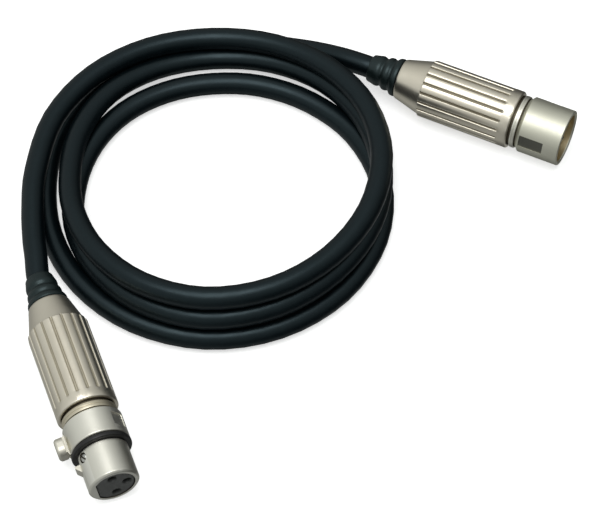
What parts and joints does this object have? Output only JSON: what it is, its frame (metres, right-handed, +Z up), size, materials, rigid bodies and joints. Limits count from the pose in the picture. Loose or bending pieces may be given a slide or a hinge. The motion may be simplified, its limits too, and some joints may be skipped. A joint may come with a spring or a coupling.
{
  "type": "xlr cable coil",
  "caption": "Coiled balanced microphone cable with a male and a female metal connector, ribbed backshells, rubber boots and a press-to-release latch.",
  "frame": {"origin": "centre of the box around the two connectors, on the floor they lie on", "axes": "+X out of the nose of the male connector, +Z up, the female connector's nose 45 degrees from +X towards -Y"},
  "size_m": [0.161, 0.1933, 0.021],
  "materials": {
    "nickel": "satin nickel plate, slightly warm",
    "bright_nickel": "satin nickel plate, brighter",
    "sleeve_nickel": "satin nickel plate on a ribbed sleeve",
    "pale_ring": "pale satin ring",
    "latch_metal": "pale satin metal",
    "silver_contact": "silver-plated brass",
    "steel": "bright steel",
    "black_plastic": "black satin plastic",
    "dark_insert": "dark grey moulded plastic",
    "chuck_plastic": "grey moulded plastic",
    "boot_rubber": "black satin rubber",
    "cable_jacket": "black satin jacket",
    "wire_screen": "twisted tinned copper screen",
    "wire_red": "red insulation",
    "wire_white": "white insulation"
  },
  "bodies": {
    "cable": {"male_shell": "nickel", "male_insert": "black_plastic", "pin_1": "silver_contact", "pin_2": "silver_contact", "pin_3": "silver_contact", "male_neck_ring": "pale_ring", "male_backshell": "sleeve_nickel", "male_chuck": "chuck_plastic", "male_boot": "boot_rubber", "male_cable_end": "cable_jacket", "male_wire_1": "wire_screen", "male_wire_2": "wire_red", "male_wire_3": "wire_white", "female_shell": "bright_nickel", "female_front_ring": "black_plastic", "female_insert": "dark_insert", "socket_contact_1": "silver_contact", "socket_contact_2": "silver_contact", "socket_contact_3": "silver_contact", "female_insert_screw": "steel", "latch_pin": "steel", "latch_spring": "steel", "female_neck_ring": "pale_ring", "female_backshell": "sleeve_nickel", "female_chuck": "chuck_plastic", "female_boot": "boot_rubber", "female_cable_end": "cable_jacket", "female_wire_1": "wire_screen", "female_wire_2": "wire_red", "female_wire_3": "wire_white", "cable_coil": "cable_jacket", "female_lead": "cable_jacket", "male_lead": "cable_jacket"},
    "latch": {"latch_lever": "latch_metal"}
  },
  "joints": [
    {"name": "latch_press", "type": "hinge", "parent": "cable", "child": "latch", "pos_m": [-0.02775, -0.08205, 0.00896], "axis": [-0.0801, -0.0801, 0.9936], "range_deg": [0, 7], "stiffness_Nm_per_rad": 0.02, "springref_deg": -5.73, "deforming": ["latch_spring"]}
  ]
}
